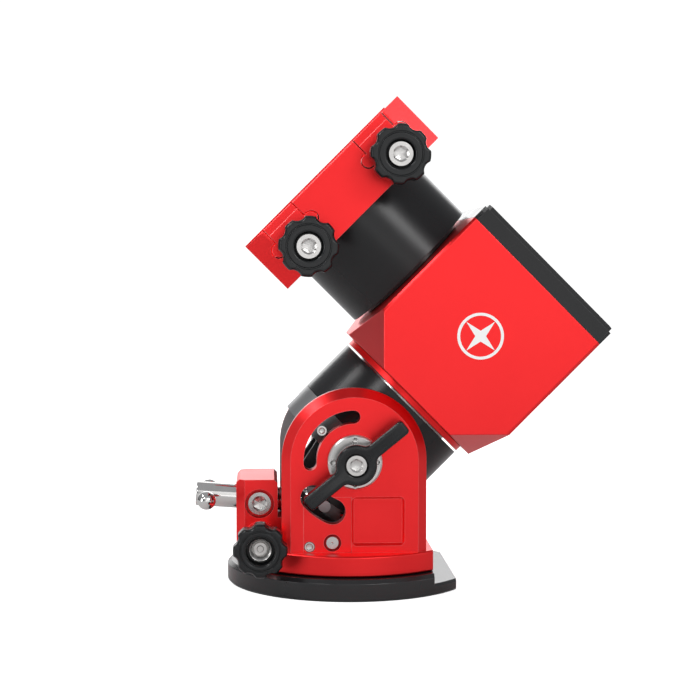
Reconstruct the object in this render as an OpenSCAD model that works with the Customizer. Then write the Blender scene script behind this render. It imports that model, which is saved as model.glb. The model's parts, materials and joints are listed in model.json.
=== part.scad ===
// Equatorial mount with strain-wave drives on both axes.
// +Z is up, +X points to the pole side, the two cheeks face -Y and +Y.
// The origin is on the azimuth axis, on the underside of the base plate.
// Right-ascension frame: z along that axis from the altitude pivot, y across the mount.
// Declination frame: z along that axis from the right-ascension axis, x along the first axis.

/* [Base] */
// Radius of the base plate
plate_r = 72.5; // [70:0.5:76]
// Thickness of the base plate
plate_t = 12.3; // [11:0.1:13]
// Thickness of the tongue at the pole side
tongue_t = 6.6; // [5:0.1:8]
// Distance from the axis to the tongue's straight edge
tongue_x = 59; // [55:0.5:60]
// Radius of the turning base disc
disc_r = 66; // [64:0.5:68]
// Thickness of the turning base disc
disc_t = 12; // [11.5:0.1:12.5]
// Distance from the axis to the straight edge of disc and upper plate
flat_x = 45; // [44:0.5:48]

/* [Cheeks] */
// Height of the altitude pivot
pivot_h = 76; // [75:0.5:80]
// Outer radius of the arch
arch_r = 41; // [40:0.5:43]
// Distance from the centre plane to a cheek's outer face
cheek_y = 53.5; // [53:0.5:55]
// Distance from the centre plane to a cheek's inner face
cheek_in = 45.4; // [45.3:0.1:46]
// Width of the bevel round each cheek's outer face
cheek_bevel = 5; // [3:0.5:6]
// Radius of the guide slot's centre line
slot_r = 25; // [24:0.5:26]
// Width of the guide slot
slot_w = 7.4; // [6:0.1:8]
// Travel of the altitude axis, from end to end
alt_travel = 86; // [80:1:90]

/* [Right-ascension axis] */
// Radius of both drive housings
drive_r = 45; // [44:0.5:45]
// Where the drive housing starts
housing_u0 = 9.7; // [9:0.1:11]
// Where the drive housing ends
housing_u1 = 43.4; // [43:0.1:43.8]
// Radius of the housing's inside
drive_bore = 34; // [32:0.5:36]

/* [Head] */
// Where the head box starts along the right-ascension axis
box_u0 = 48.2; // [48:0.1:49]
// Where the red casing ends and the black cover starts
box_u1 = 143.2; // [142:0.1:145]
// Thickness of the cover
cover_t = 11; // [10:0.5:12]
// Half of the box's size along the declination axis
box_v = 50; // [49:0.5:51]
// Half of the box's size across the mount
box_y = 64; // [62:0.5:66]
// Wall thickness of the casing
wall = 6; // [5:0.5:7]
// Where the declination axis crosses the right-ascension axis
dec_u = 102; // [101:0.5:103]

/* [Saddle] */
// Length of the saddle
saddle_l = 120; // [116:1:124]
// Where the declination housing starts along its axis
dec_v0 = 52.6; // [52:0.1:53]
// Where the saddle starts along the declination axis
saddle_v0 = 94.6; // [94:0.1:96]
// Where the saddle's near wall ends
saddle_v1 = 127.5; // [127:0.1:128]
// Distance from the saddle's middle to each clamp block's middle
clamp_u = 35.5; // [33:0.5:38]
// Width of a clamp block
clamp_w = 21.6; // [20:0.2:23]
// Radius of a saddle knob
saddle_knob_r = 16.7; // [15:0.1:17]

/* [Hidden] */
$fn = 96;

RED = [0.86, 0.10, 0.12];
BLACK = [0.12, 0.12, 0.13];
GREY = [0.45, 0.46, 0.47];
STEEL = [0.75, 0.76, 0.78];
BRASS = [0.76, 0.62, 0.32];
WHITE = [0.93, 0.93, 0.93];
GREEN = [0.1, 0.35, 0.2];

eps = 0.1;             // overlap that makes a cut run clean through a face
run = 0.05;            // radial clearance of a running fit
gap = 0.3;             // clearance between faces that move past each other
tilt = 45;             // latitude that the mount is set to at rest

disc_z0 = plate_t + gap;
disc_z1 = plate_t + disc_t;
hub_r = 14;
cap_t = 3;
washer_r = 44;
washer_t = 0.9;

// azimuth adjuster: two knobs push on a lug that stands on the base plate
lug_x = -53;
lug_r = 5;
az_z = 28.3;
az_travel = 4.7;       // how far the lug moves each way between the pads
pad_t = 3;
pad_r = 3.6;
az_screw_r = 3;
az_knob_r = 15.2;
az_knob_y = 58;
az_knob_t = 12;
az_knob_neck = 1.5;
az_neck_r = 8.5;
az_recess = 10;
az_recess_r = 8;
az_knob_phase = 22.5;  // angle of the first scallop
az_head_r = 6.4;
az_head_h = 4.2;

// adjuster block and the altitude screw that turns in it
block_x0 = -67;
block_x1 = -43;
block_y = 25;
block_z1 = 62;
screw_x = -53.5;
screw_z = 48.1;
screw_slope = 4.3;
rod_r = 7.15;
rod_out = 37.6;        // rod length outside the swivel point
rod_in = 60;           // rod length inside the swivel point
rod_dimple_r = 3.5;
rod_dimple_d = 3;
bar_t = 30.6;          // distance from the swivel point to the tommy bar
bar_y = 26;
ball_r = 5.4;
nut_t = 38;            // where the nut sits on the screw at rest
nut_gain = 24 / 90;    // nut travel per degree of altitude
nut_l = 20;
nut_h = 20;
nut_y = 12;
nut_pin_r = 3.5;
arm_y0 = 13;
arm_y1 = 18;
arm_r = 47;
arm_slot = nut_pin_r + gap;
arm_steps = 18;        // straight pieces in the slot's curve

// altitude pivot
trunnion_r = 7;
flange_r = 15.3;
flange_y = 59;
spigot_r = 9.6;
side_y = 43;           // flats on the drive housing, inside the friction plates
plate_in = side_y + gap;
lever_y0 = 60;
lever_y1 = 73;
lever_hub_r = 11.4;
lever_l = 34.8;
lever_w = 8.5;
lever_angle = 39;
lever_screw_r = 4;
lever_head_r = 5.6;

// drives
rear_u0 = -7.5;        // back of the rear cap
rear_v0 = -18;         // underside of the rear cap, above the altitude screw
arm_outline = [[rear_u0, 20], [rear_u0, rear_v0], [-18, -46], [-40, -46], [-42, -10], [-36, 14]];
ra_disc_u = 44.6;
spline_r = 26;
wave_r = 24.5;
shaft_r = 2.5;
shaft_hole = 8;
motor_a = 35;
motor_l = 24;
dec_bore = 36;

// saddle
channel_half = 38.1;   // half of a three-inch dovetail plate
channel_v = 112;
jaw_v1 = 129.6;
jaw_slope = 15;
saddle_y = 47;
jaw_y = 44;
jaw_out = 58;
groove_half = 22;
groove_v = 104;
knob_v = 103.5;
knob_y1 = 75;
knob_t = 13;
clamp_screw_r = 4;
clamp_y1 = 38.4;
lobe_r = 3.8;
lobe_u = 12.75;
lobe_v = saddle_v1 - 14.2;
clamp_gap = 0.7;       // gap round a clamp block's outline
end_w = 12;            // width of the slanting ends of the saddle's near face
end_d = 2.5;           // how far they lean back
edge_c = 0.7;          // chamfer along the top edge of the near face
clamp_v0 = 95.2;
clamp_tip_y = 25;
clamp_neck_r = 9.5;
clamp_recess_r = 7.75;
clamp_recess = 6;
clamp_knob_phase = -26.5;
clamp_head_r = 6.6;
clamp_head_h = 5.6;
saddle_circle = 13;    // radius of the circle of screws that hold the saddle
saddle_screw_r = 2.5;
saddle_head_r = 4.8;
saddle_bore_r = 5;
saddle_seat = 99;      // height of those screws' seats along the declination axis
jaw_screw_u = 40;
jaw_screw_l = 20;
jaw_seat = 8;          // depth of the jaw screws' seats behind the saddle's far wall

// bores, screws and plugs
plug_r = 6;
plug_l = 6;
tripod_thread_r = 4;
tripod_thread_l = 15;
pier_circle = 45;
pier_hole_r = 2.5;
pier_hole_l = 9;
washer_in = hub_r + 6;
lug_top = az_z + pad_r + 2;
slot_mid = 137;
slot_span = 92;
kidney_r = 31;
kidney_w = 7.3;
kidney_a0 = -138.5;
kidney_a1 = -113.4;
plate_foot = 24;       // how far the friction plates reach below the pivot
pocket_x = -1.7;
pocket_z = 28.1;
foot_screw_x = -25.4;
foot_screw_z = 27.6;
foot_screw_r = 3.1;
foot_screw_d = 5;
pin_x = -12.5;
pin_z = 29.8;
pin_r = 3.9;
pin_d = 4;
flange_circle = 12.5;
small_r = 1.25;
small_head_r = 2.1;
small_head_h = 2;
swivel_y = 19;
swivel_l = 10.4;
swivel_r = 4;
swivel_bore_r = 8.4;
swivel_head_r = 6.5;
swivel_head_h = 5.6;
set_z = 37;
set_r = 2;
set_l = 4;
trunnion_in_r = 5.5;
trunnion_l = 14;
guide_r = 1.5;
guide_l = 8;
guide_head_r = 2.7;
bar_r = 2.5;
lever_screw_l = 20;
lever_head_h = 5;
spline_u0 = 16;
spline_l = 14;
neck_l = 16;
insert_r = 9;
insert_l = 12;
weight_thread_r = 5.05;
block_reach = 200;
emblem_u = 99;

// cover, and the sockets on its recessed panel
cover_skin = 5;
cover_screw_r = 1.6;
cover_screw_d = 2;
cover_screw_l = 10;
casing_edge = 1.5;
cover_head_r = 2.9;
panel_d = 2.6;
panel_h = 22;
panel_w = 104;
port_x = 18;
port_l = 7;
power_y = -8;
power_r = 5.5;
data_y = 16;
data_w = 12;
data_h = 10.8;
handset_y = 40;
handset_w = 13;
handset_h = 9;
switch_y = -38;
switch_w = 19;
switch_h = 12;
switch_tilt = 8;
switch_depth = 1.2;    // how far the rocking line lies under the panel's face
switch_pin_r = 0.7;
switch_pin_l = 15;

// ---------- frames and repeated shapes ----------

// a shape drawn in the X-Z plane round the pivot, from y0 to y1
module across(y0, y1) {
    translate([0, y1, pivot_h]) rotate([90, 0, 0]) linear_extrude(y1 - y0) children();
}

// a frame at (x, z) whose z axis points out of the mount's near side
module face(x, z) {
    translate([x, 0, z]) rotate([90, 0, 0]) children();
}

// near-side shapes, moved to the far side when far is true
module side(far) {
    mirror([0, far ? 1 : 0, 0]) children();
}

module each_side() {
    for (far = [false, true]) side(far) children();
}

// the right-ascension frame
module ra() {
    translate([0, 0, pivot_h]) rotate([0, tilt, 0]) children();
}

// the declination frame
module dec() {
    ra() translate([0, 0, dec_u]) rotate([0, -90, 0]) children();
}

// the altitude screw's frame: z along the screw, into the mount
module screw_frame() {
    translate([screw_x, 0, screw_z]) rotate([0, 90 + screw_slope, 0]) children();
}

module ring(r_out, r_in, h) {
    difference() {
        cylinder(r = r_out, h = h);
        translate([0, 0, -eps]) cylinder(r = r_in, h = h + 2 * eps);
    }
}

// a cylinder with a chamfer round its far end
module chamfered(r, h, c) {
    cylinder(r = r, h = h - c);
    translate([0, 0, h - c]) cylinder(r1 = r, r2 = r - c, h = c);
}

// socket-head screw: shank below z = 0, head above it
module socket_screw(shank_r, shank_l, head_r, head_h) {
    difference() {
        union() {
            translate([0, 0, -shank_l]) cylinder(r = shank_r, h = shank_l);
            chamfered(head_r, head_h, head_h * 0.12);
        }
        translate([0, 0, head_h * 0.45]) cylinder(r = head_r * 0.55, h = head_h, $fn = 6);
    }
}

// set screw: a plain cylinder with a hexagon socket in its outer end
module set_screw(r, l) {
    difference() {
        cylinder(r = r, h = l);
        translate([0, 0, l / 2]) cylinder(r = r * 0.5, h = l, $fn = 6);
    }
}

// a circular arc of a given width with round ends, drawn flat; the ends are a hair narrower
module arc_slot(r, half_w, a0, a1) {
    reach = 2 * r;
    mid = (a0 + a1) / 2;
    end_r = half_w - 0.03;
    intersection() {
        difference() {
            circle(r = r + half_w);
            circle(r = r - half_w);
        }
        polygon([[0, 0], reach * [cos(a0), sin(a0)], reach * [cos(mid), sin(mid)],
            reach * [cos(a1), sin(a1)]]);
    }
    for (a = [a0, a1]) rotate(a) translate([r, 0]) circle(r = end_r);
}

module rounded_rect(w, h, r) {
    translate([r, 0]) square([w - 2 * r, h]);
    translate([0, r]) square([w, h - 2 * r]);
    for (x = [r, w - r], y = [r, h - r]) translate([x, y]) circle(r = r);
}

// hand knob with a scalloped rim, front face at z = t
module knob(r, t, neck_r, neck_l, recess_r, recess_d, hole_r, phase) {
    lobes = 8;
    scallop_r = r * 0.31;
    scallop_at = r + scallop_r * 0.65;
    groove = 0.8;
    difference() {
        union() {
            chamfered(r, t, 1.4);
            translate([0, 0, -neck_l]) cylinder(r = neck_r, h = neck_l + eps);
        }
        for (i = [0 : lobes - 1]) rotate(phase + i * 360 / lobes)
            translate([scallop_at, 0, -eps]) cylinder(r = scallop_r, h = t + 2 * eps);
        translate([0, 0, t - recess_d]) cylinder(r = recess_r, h = recess_d + eps);
        translate([0, 0, t - groove]) ring(r * 0.76, r * 0.71, groove + eps);
        translate([0, 0, -neck_l - eps]) cylinder(r = hole_r, h = neck_l + t);
    }
}

// the half-space beyond a plane through p, on the side that n points to
module beyond(p, n) {
    big = 400;
    translate(p) rotate([0, acos(n[2] / norm(n)), atan2(n[1], n[0])])
        translate([-big / 2, -big / 2, 0]) cube(big);
}

// ---------- base ----------

// a disc with chamfered rims, cut straight at x = cut
module flat_disc(r, t, foot, rim, cut) {
    intersection() {
        rotate_extrude() polygon([[0, 0], [r - foot, 0], [r, foot], [r, t - rim],
            [r - rim, t], [0, t]]);
        translate([-r, -r, 0]) cube([r + cut, 2 * r, t]);
    }
}

module base_plate() {
    foot = 1.2;
    rim = 2.2;
    color(BLACK) difference() {
        union() {
            flat_disc(plate_r, plate_t, foot, rim, flat_x);
            flat_disc(plate_r, tongue_t, foot, foot, tongue_x);
            cylinder(r = hub_r, h = disc_z1 + gap);
        }
        translate([0, 0, -eps]) cylinder(r = tripod_thread_r, h = tripod_thread_l + eps);
        translate([0, 0, disc_z1 + gap - plug_l]) cylinder(r = plug_r, h = plug_l + eps);
        for (a = [60 : 120 : 300]) rotate(a) translate([pier_circle, 0, -eps])
            cylinder(r = pier_hole_r, h = pier_hole_l + eps);
        translate([lug_x, 0, plate_t - plug_l]) cylinder(r = az_screw_r, h = plug_l + eps);
    }
}

module azimuth_washer() {
    color(BRASS) translate([0, 0, plate_t]) ring(washer_r, washer_in, washer_t);
}

module azimuth_cap() {
    color(STEEL) translate([0, 0, disc_z1 + gap]) {
        chamfered(washer_in, cap_t, 0.8);
        translate([0, 0, -plug_l]) cylinder(r = plug_r, h = plug_l);
    }
}

module azimuth_lug() {
    color(STEEL) translate([lug_x, 0, plate_t]) {
        chamfered(lug_r, lug_top - plate_t, 0.8);
        translate([0, 0, -plug_l]) cylinder(r = az_screw_r, h = plug_l);
    }
}

module base_disc() {
    rim = 0.8;
    window_x = lug_r + 1.5;
    window_y = lug_r + az_travel + 2 * gap;
    color(RED) difference() {
        translate([0, 0, disc_z0]) flat_disc(disc_r, disc_z1 - disc_z0, rim, rim, flat_x);
        cylinder(r = hub_r + run, h = disc_z1 + eps);
        translate([0, 0, plate_t])
            ring(washer_r + gap, washer_in - gap, washer_t + run);
        translate([lug_x - window_x, -window_y, plate_t])
            cube([2 * window_x, 2 * window_y, disc_t + gap]);
    }
}

// ---------- cheeks ----------

// holes that run through a cheek and its friction plate
module cheek_openings() {
    circle(r = spigot_r);
    arc_slot(slot_r, slot_w / 2, slot_mid - slot_span / 2, slot_mid + slot_span / 2);
    arc_slot(kidney_r, kidney_w, kidney_a0, kidney_a1);
}

// a rounded pocket, floor at z = 0 and mouth at z = d, whose walls lean outwards
module leaning_pocket(w, h, d, lean) {
    intersection() {
        linear_extrude(d + eps) rounded_rect(w, h, 3);
        translate([0, h, 0]) rotate([90, 0, 0]) linear_extrude(h) leaning_section(w, d, lean);
        rotate([90, 0, 90]) linear_extrude(w) leaning_section(h, d, lean);
    }
}

module leaning_section(w, d, lean) {
    polygon([[lean, 0], [w - lean, 0], [w, d], [w, d + eps], [0, d + eps], [0, d]]);
}

module cheek() {
    inner = cheek_y - cheek_bevel;
    step_w = 27;
    step_d = 0.8;
    pocket_d = 2.2;
    pocket_lean = 1.3;
    pocket_w = 30;
    pocket_h = 27.7;
    color(RED) difference() {
        union() {
            face(0, pivot_h) {
                translate([0, 0, cheek_in]) cylinder(r = arch_r, h = inner - cheek_in);
                translate([0, 0, inner])
                    cylinder(r1 = arch_r, r2 = arch_r - cheek_bevel, h = cheek_bevel);
            }
            translate([0, 0, disc_z1]) linear_extrude(pivot_h - disc_z1) polygon([
                [-arch_r, -cheek_in], [-arch_r, -inner], [-arch_r + cheek_bevel, -cheek_y],
                [arch_r - cheek_bevel, -cheek_y], [arch_r, -inner], [arch_r, -cheek_in]]);
        }
        across(-cheek_y - eps, -cheek_in + eps) cheek_openings();
        // shallow step at the foot, beside the pocket
        translate([pocket_x - step_w, -cheek_y - eps, disc_z1 - eps])
            cube([step_w, step_d + eps, pocket_z + pocket_h - disc_z1]);
        face(pocket_x, pocket_z) translate([0, 0, cheek_y - pocket_d])
            leaning_pocket(pocket_w, pocket_h, pocket_d, pocket_lean);
        face(foot_screw_x, foot_screw_z) translate([0, 0, cheek_y - foot_screw_d])
            cylinder(r = foot_screw_r, h = foot_screw_d + eps);
        face(pin_x, pin_z) translate([0, 0, cheek_y - pin_d])
            cylinder(r = pin_r + 1, h = pin_d + eps);
        face(0, pivot_h) for (a = [0 : 90 : 270]) rotate(a)
            translate([flange_circle, 0, cheek_in + 2]) cylinder(r = small_r, h = cheek_y);
    }
}

module cheek_near() { side(false) cheek(); }
module cheek_far() { side(true) cheek(); }

module cheek_screws() {
    color(STEEL) each_side() face(foot_screw_x, foot_screw_z)
        translate([0, 0, cheek_y - foot_screw_d]) set_screw(foot_screw_r, foot_screw_d - 1);
}

module cheek_pins() {
    color(STEEL) each_side() face(pin_x, pin_z)
        translate([0, 0, cheek_y - pin_d]) chamfered(pin_r, pin_d - 1, 0.5);
}

module friction_plates() {
    color(GREY) each_side() across(-cheek_in, -plate_in) difference() {
        union() {
            circle(r = arch_r);
            translate([-arch_r, -plate_foot]) square([2 * arch_r, plate_foot]);
        }
        cheek_openings();
    }
}

module adjuster_block() {
    chamfer = 5;
    bevel = 2;
    foot_z = 40;
    foot_x = -38.5;
    boss_r = 9.5;
    boss_y = az_knob_y - az_knob_neck - az_travel - gap;
    cavity_x = lug_r + 2;
    cavity_y = 17;
    cavity_h = 11;
    color(RED) difference() {
        union() {
            intersection() {
                translate([0, 0, disc_z1]) linear_extrude(block_z1) polygon([
                    [block_x0, chamfer - block_y], [block_x0 + chamfer, -block_y],
                    [foot_x, -block_y], [foot_x, block_y],
                    [block_x0 + chamfer, block_y], [block_x0, block_y - chamfer]]);
                face(0, 0) translate([0, 0, -block_y]) linear_extrude(2 * block_y) polygon([
                    [block_x0, disc_z1], [block_x0, block_z1 - bevel],
                    [block_x0 + bevel, block_z1], [block_x1 - bevel, block_z1],
                    [block_x1, block_z1 - bevel], [block_x1, foot_z], [foot_x, foot_z],
                    [foot_x, disc_z1]]);
            }
            // bosses that carry the azimuth screws out to their knobs
            intersection() {
                face(lug_x, az_z) translate([0, 0, -boss_y]) cylinder(r = boss_r, h = 2 * boss_y);
                translate([lug_x - boss_r, -boss_y, disc_z1])
                    cube([2 * boss_r, 2 * boss_y, 2 * boss_r]);
            }
        }
        translate([lug_x - cavity_x, -cavity_y, disc_z1 - eps])
            cube([2 * cavity_x, 2 * cavity_y, cavity_h + eps]);
        face(lug_x, az_z) translate([0, 0, -az_knob_y])
            cylinder(r = az_screw_r + run, h = 2 * az_knob_y);
        screw_frame() translate([0, 0, -rod_out]) cylinder(r = rod_r + run, h = 2 * rod_out);
        each_side() face(screw_x, screw_z) {
            translate([0, 0, swivel_y]) cylinder(r = swivel_bore_r, h = block_y);
            translate([0, 0, swivel_y - swivel_l]) cylinder(r = swivel_r, h = swivel_l + eps);
        }
        translate([block_x0, 0, set_z]) rotate([0, 90, 0])
            translate([0, 0, -eps]) cylinder(r = set_r, h = set_l + eps);
    }
}

module block_screws() {
    color(STEEL) {
        each_side() face(screw_x, screw_z) translate([0, 0, swivel_y])
            socket_screw(swivel_r, swivel_l, swivel_head_r, swivel_head_h);
        translate([block_x0 + set_l, 0, set_z]) rotate([0, -90, 0]) set_screw(set_r, set_l - 0.5);
    }
}

module pivot_flanges() {
    thick = flange_y - cheek_y;
    color(STEEL) each_side() face(0, pivot_h) difference() {
        union() {
            translate([0, 0, cheek_y]) chamfered(flange_r, thick, 1);
            translate([0, 0, plate_in]) cylinder(r = spigot_r, h = cheek_y - plate_in);
        }
        cylinder(r = trunnion_r + run, h = flange_y + eps);
        for (a = [0 : 90 : 270]) rotate(a) translate([flange_circle, 0, cheek_y - eps]) {
            cylinder(r = small_r, h = thick);
            translate([0, 0, thick - small_head_h]) cylinder(r = small_head_r, h = thick);
        }
    }
}

module flange_screws() {
    depth = 6;
    color(STEEL) each_side() face(0, pivot_h) for (a = [0 : 90 : 270]) rotate(a)
        translate([flange_circle, 0, flange_y - small_head_h - eps])
            socket_screw(small_r, depth, small_head_r, small_head_h);
}

// ---------- altitude body ----------

// the space between the two friction plates
module between_plates() {
    translate([-block_reach, -side_y, 0]) cube([2 * block_reach, 2 * side_y, 2 * block_reach]);
}

module ra_housing() {
    floor_t = 4.3;
    color(BLACK) intersection() {
        ra() translate([0, 0, housing_u0]) difference() {
            cylinder(r = drive_r, h = housing_u1 - housing_u0);
            translate([0, 0, floor_t]) cylinder(r = drive_bore, h = housing_u1);
        }
        between_plates();
    }
}

module ra_rear_cap() {
    depth = housing_u0 - rear_u0;
    color(GREY) difference() {
        intersection() {
            ra() translate([0, 0, rear_u0]) cylinder(r = drive_r, h = depth);
            ra() translate([-2 * drive_r, -drive_r, rear_u0])
                cube([2 * drive_r - rear_v0, 2 * drive_r, depth]);
            between_plates();
        }
        each_side() face(0, pivot_h) {
            translate([0, 0, side_y - trunnion_l]) cylinder(r = trunnion_in_r, h = drive_r);
            guide_place() translate([0, 0, side_y - guide_l]) cylinder(r = guide_r, h = drive_r);
        }
    }
}

// the point on the guide slot where its screw sits at rest
module guide_place() {
    rotate(slot_mid) translate([slot_r, 0, 0]) children();
}

// where the nut's pin lies in the tail arms when the axis has turned by a degrees
function nut_at(a) = let (t = nut_t + nut_gain * a,
    x = screw_x + t * cos(screw_slope), z = screw_z - pivot_h - t * sin(screw_slope))
    [x * cos(a) + z * sin(a), z * cos(a) - x * sin(a)];

// the two arms that reach down to the nut, with a curved slot for its pin
module tail_arms() {
    span = alt_travel / 2 + 1;
    path = [for (i = [0 : arm_steps]) nut_at(span * (2 * i / arm_steps - 1))];
    last = len(path) - 1;
    along = [for (i = [0 : last]) path[min(i + 1, last)] - path[max(i - 1, 0)]];
    across_path = [for (d = along) arm_slot * [-d[1], d[0]] / norm(d)];
    color(BLACK) each_side() across(-arm_y1, -arm_y0) difference() {
        intersection() {
            rotate(tilt) polygon(arm_outline);
            circle(r = arm_r);
        }
        polygon(concat([for (i = [0 : last]) path[i] + across_path[i]],
            [for (i = [last : -1 : 0]) path[i] - across_path[i]]));
        for (i = [0, last]) translate(path[i]) circle(r = arm_slot);
    }
}

module trunnions() {
    color(STEEL) each_side() face(0, pivot_h) difference() {
        union() {
            translate([0, 0, side_y]) cylinder(r = trunnion_r, h = lever_y0 - gap - side_y);
            translate([0, 0, side_y - trunnion_l]) cylinder(r = trunnion_in_r, h = trunnion_l);
        }
        translate([0, 0, lever_y0 - lever_screw_l]) cylinder(r = lever_screw_r + run, h = lever_screw_l);
    }
}

module guide_screws() {
    head_y = 47.5;
    color(STEEL) each_side() face(0, pivot_h) guide_place() translate([0, 0, head_y])
        socket_screw(guide_r, head_y - side_y + guide_l, guide_head_r, 3);
}

module ra_circular_spline() {
    color(STEEL) ra() translate([0, 0, spline_u0]) ring(drive_bore, spline_r, spline_l);
}

// ---------- altitude screw and its nut ----------

module altitude_rod() {
    color(STEEL) screw_frame() difference() {
        union() {
            translate([0, 0, -rod_out]) cylinder(r = rod_r, h = rod_out + rod_in - 1);
            translate([0, 0, rod_in - 1]) cylinder(r1 = rod_r, r2 = rod_r - 1, h = 1);
        }
        translate([0, 0, -bar_t]) rotate([90, 0, 0])
            translate([0, 0, -drive_r]) cylinder(r = bar_r, h = 2 * drive_r);
        translate([0, 0, -rod_out - eps]) cylinder(r = rod_dimple_r, h = rod_dimple_d);
    }
}

module tommy_bar() {
    color(STEEL) screw_frame() translate([0, 0, -bar_t]) {
        rotate([90, 0, 0]) translate([0, 0, -bar_y]) cylinder(r = bar_r, h = 2 * bar_y);
        for (y = [-bar_y, bar_y]) translate([0, y, 0]) sphere(r = ball_r);
    }
}

module altitude_nut() {
    pin_l = arm_y1 + 1.5;
    color(STEEL) screw_frame() translate([0, 0, nut_t]) difference() {
        union() {
            translate([-nut_h / 2, -nut_y, -nut_l / 2]) cube([nut_h, 2 * nut_y, nut_l]);
            rotate([90, 0, 0]) translate([0, 0, -pin_l]) cylinder(r = nut_pin_r, h = 2 * pin_l);
        }
        translate([0, 0, -nut_l]) cylinder(r = rod_r + run, h = 2 * nut_l);
    }
}

// ---------- azimuth adjusters ----------

module thrust_pad() {
    color(BRASS) face(lug_x, az_z) translate([0, 0, lug_r + gap]) chamfered(pad_r, pad_t, 0.4);
}

module azimuth_knob() {
    color(BLACK) face(lug_x, az_z) translate([0, 0, az_knob_y])
        knob(az_knob_r, az_knob_t, az_neck_r, az_knob_neck, az_recess_r, az_recess, az_screw_r,
            az_knob_phase);
}

module azimuth_screw() {
    head_y = az_knob_y + az_knob_t - az_recess;
    color(STEEL) face(lug_x, az_z) translate([0, 0, head_y])
        socket_screw(az_screw_r, head_y - lug_r - gap - pad_t, az_head_r, az_head_h);
}

module thrust_pad_near() { side(false) thrust_pad(); }
module thrust_pad_far() { side(true) thrust_pad(); }
module azimuth_knob_near() { side(false) azimuth_knob(); }
module azimuth_knob_far() { side(true) azimuth_knob(); }
module azimuth_screw_near() { side(false) azimuth_screw(); }
module azimuth_screw_far() { side(true) azimuth_screw(); }

// ---------- altitude locks ----------

module lock_lever() {
    arm_back = 64;
    tip_r = 1.8;
    color(BLACK) face(0, pivot_h) difference() {
        union() {
            translate([0, 0, lever_y0]) chamfered(lever_hub_r, lever_y1 - lever_y0, 1);
            rotate(lever_angle) translate([0, 0, arm_back])
                linear_extrude(lever_y1 - arm_back - 0.6) translate([-lever_l, -lever_w / 2])
                    rounded_rect(2 * lever_l, lever_w, tip_r);
        }
        translate([0, 0, lever_y1 - lever_head_h]) cylinder(r = lever_head_r + 0.9, h = lever_y1);
        translate([0, 0, lever_y0 - eps]) cylinder(r = lever_screw_r, h = lever_y1);
    }
}

module lever_screw() {
    color(STEEL) face(0, pivot_h) translate([0, 0, lever_y1 - lever_head_h])
        socket_screw(lever_screw_r, lever_y1 - lever_head_h - lever_y0 + lever_screw_l - 1,
            lever_head_r, lever_head_h - 0.4);
}

module lock_lever_near() { side(false) lock_lever(); }
module lock_lever_far() { side(true) lock_lever(); }
module lever_screw_near() { side(false) lever_screw(); }
module lever_screw_far() { side(true) lever_screw(); }

// ---------- head ----------

// a box along z with its corners at the low end cut off by slanting planes
module cut_box(u0, u1, half_v, half_y, inset) {
    leg_v = 24;
    leg_y = 50;
    difference() {
        translate([-half_v, -half_y, u0]) cube([2 * half_v, 2 * half_y, u1 - u0]);
        for (sx = [-1, 1], sy = [-1, 1])
            beyond([sx * (box_v - leg_v - inset), sy * box_y, box_u0],
                [sx / leg_v, sy / leg_y, -1 / leg_v]);
    }
}

// a rectangular bar along z with all four long edges chamfered
module edge_bar(half_a, half_b, l, c) {
    linear_extrude(l) polygon([[c - half_a, -half_b], [half_a - c, -half_b],
        [half_a, c - half_b], [half_a, half_b - c], [half_a - c, half_b],
        [c - half_a, half_b], [-half_a, half_b - c], [-half_a, c - half_b]]);
}

module ra_flange() {
    color(RED) ra() translate([0, 0, ra_disc_u]) ring(drive_r, shaft_hole, box_u0 - ra_disc_u);
}

module ra_neck_ring() {
    u0 = spline_u0 + spline_l + gap;
    color(STEEL) ra() translate([0, 0, u0]) ring(drive_bore - run, wave_r, ra_disc_u - u0);
}

module head_casing() {
    color(RED) difference() {
        ra() difference() {
            intersection() {
                cut_box(box_u0, box_u1, box_v, box_y, 0);
                translate([0, 0, box_u0]) edge_bar(box_v, box_y, box_u1, casing_edge);
            }
            difference() {
                cut_box(box_u0 + wall, box_u1 + eps, box_v - wall, box_y - wall, wall);
                cover_posts();
            }
            cover_places() translate([0, 0, -cover_t - cover_screw_l])
                cylinder(r = cover_screw_r, h = cover_screw_l + eps);
            translate([0, 0, box_u0 - eps]) cylinder(r = shaft_hole, h = wall + 2 * eps);
        }
        dec() translate([0, 0, box_v - wall - eps]) cylinder(r = shaft_hole, h = wall + 2 * eps);
        dec() translate([0, 0, -box_v - eps]) cylinder(r = insert_r, h = wall + 2 * eps);
    }
}

module cover_places() {
    for (v = [-1, 1], y = [-1, 1])
        translate([v * (box_v - 8), y * (box_y - 8), box_u1 + cover_t]) children();
}

// posts in the casing's corners that the cover's screws go into
module cover_posts() {
    post_w = 8;
    post_l = 25;
    for (v = [-1, 1], y = [-1, 1])
        translate([v * (box_v - wall) - post_w, y * (box_y - wall) - post_w, box_u1 - post_l])
            cube([2 * post_w, 2 * post_w, 2 * post_l]);
}

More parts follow.
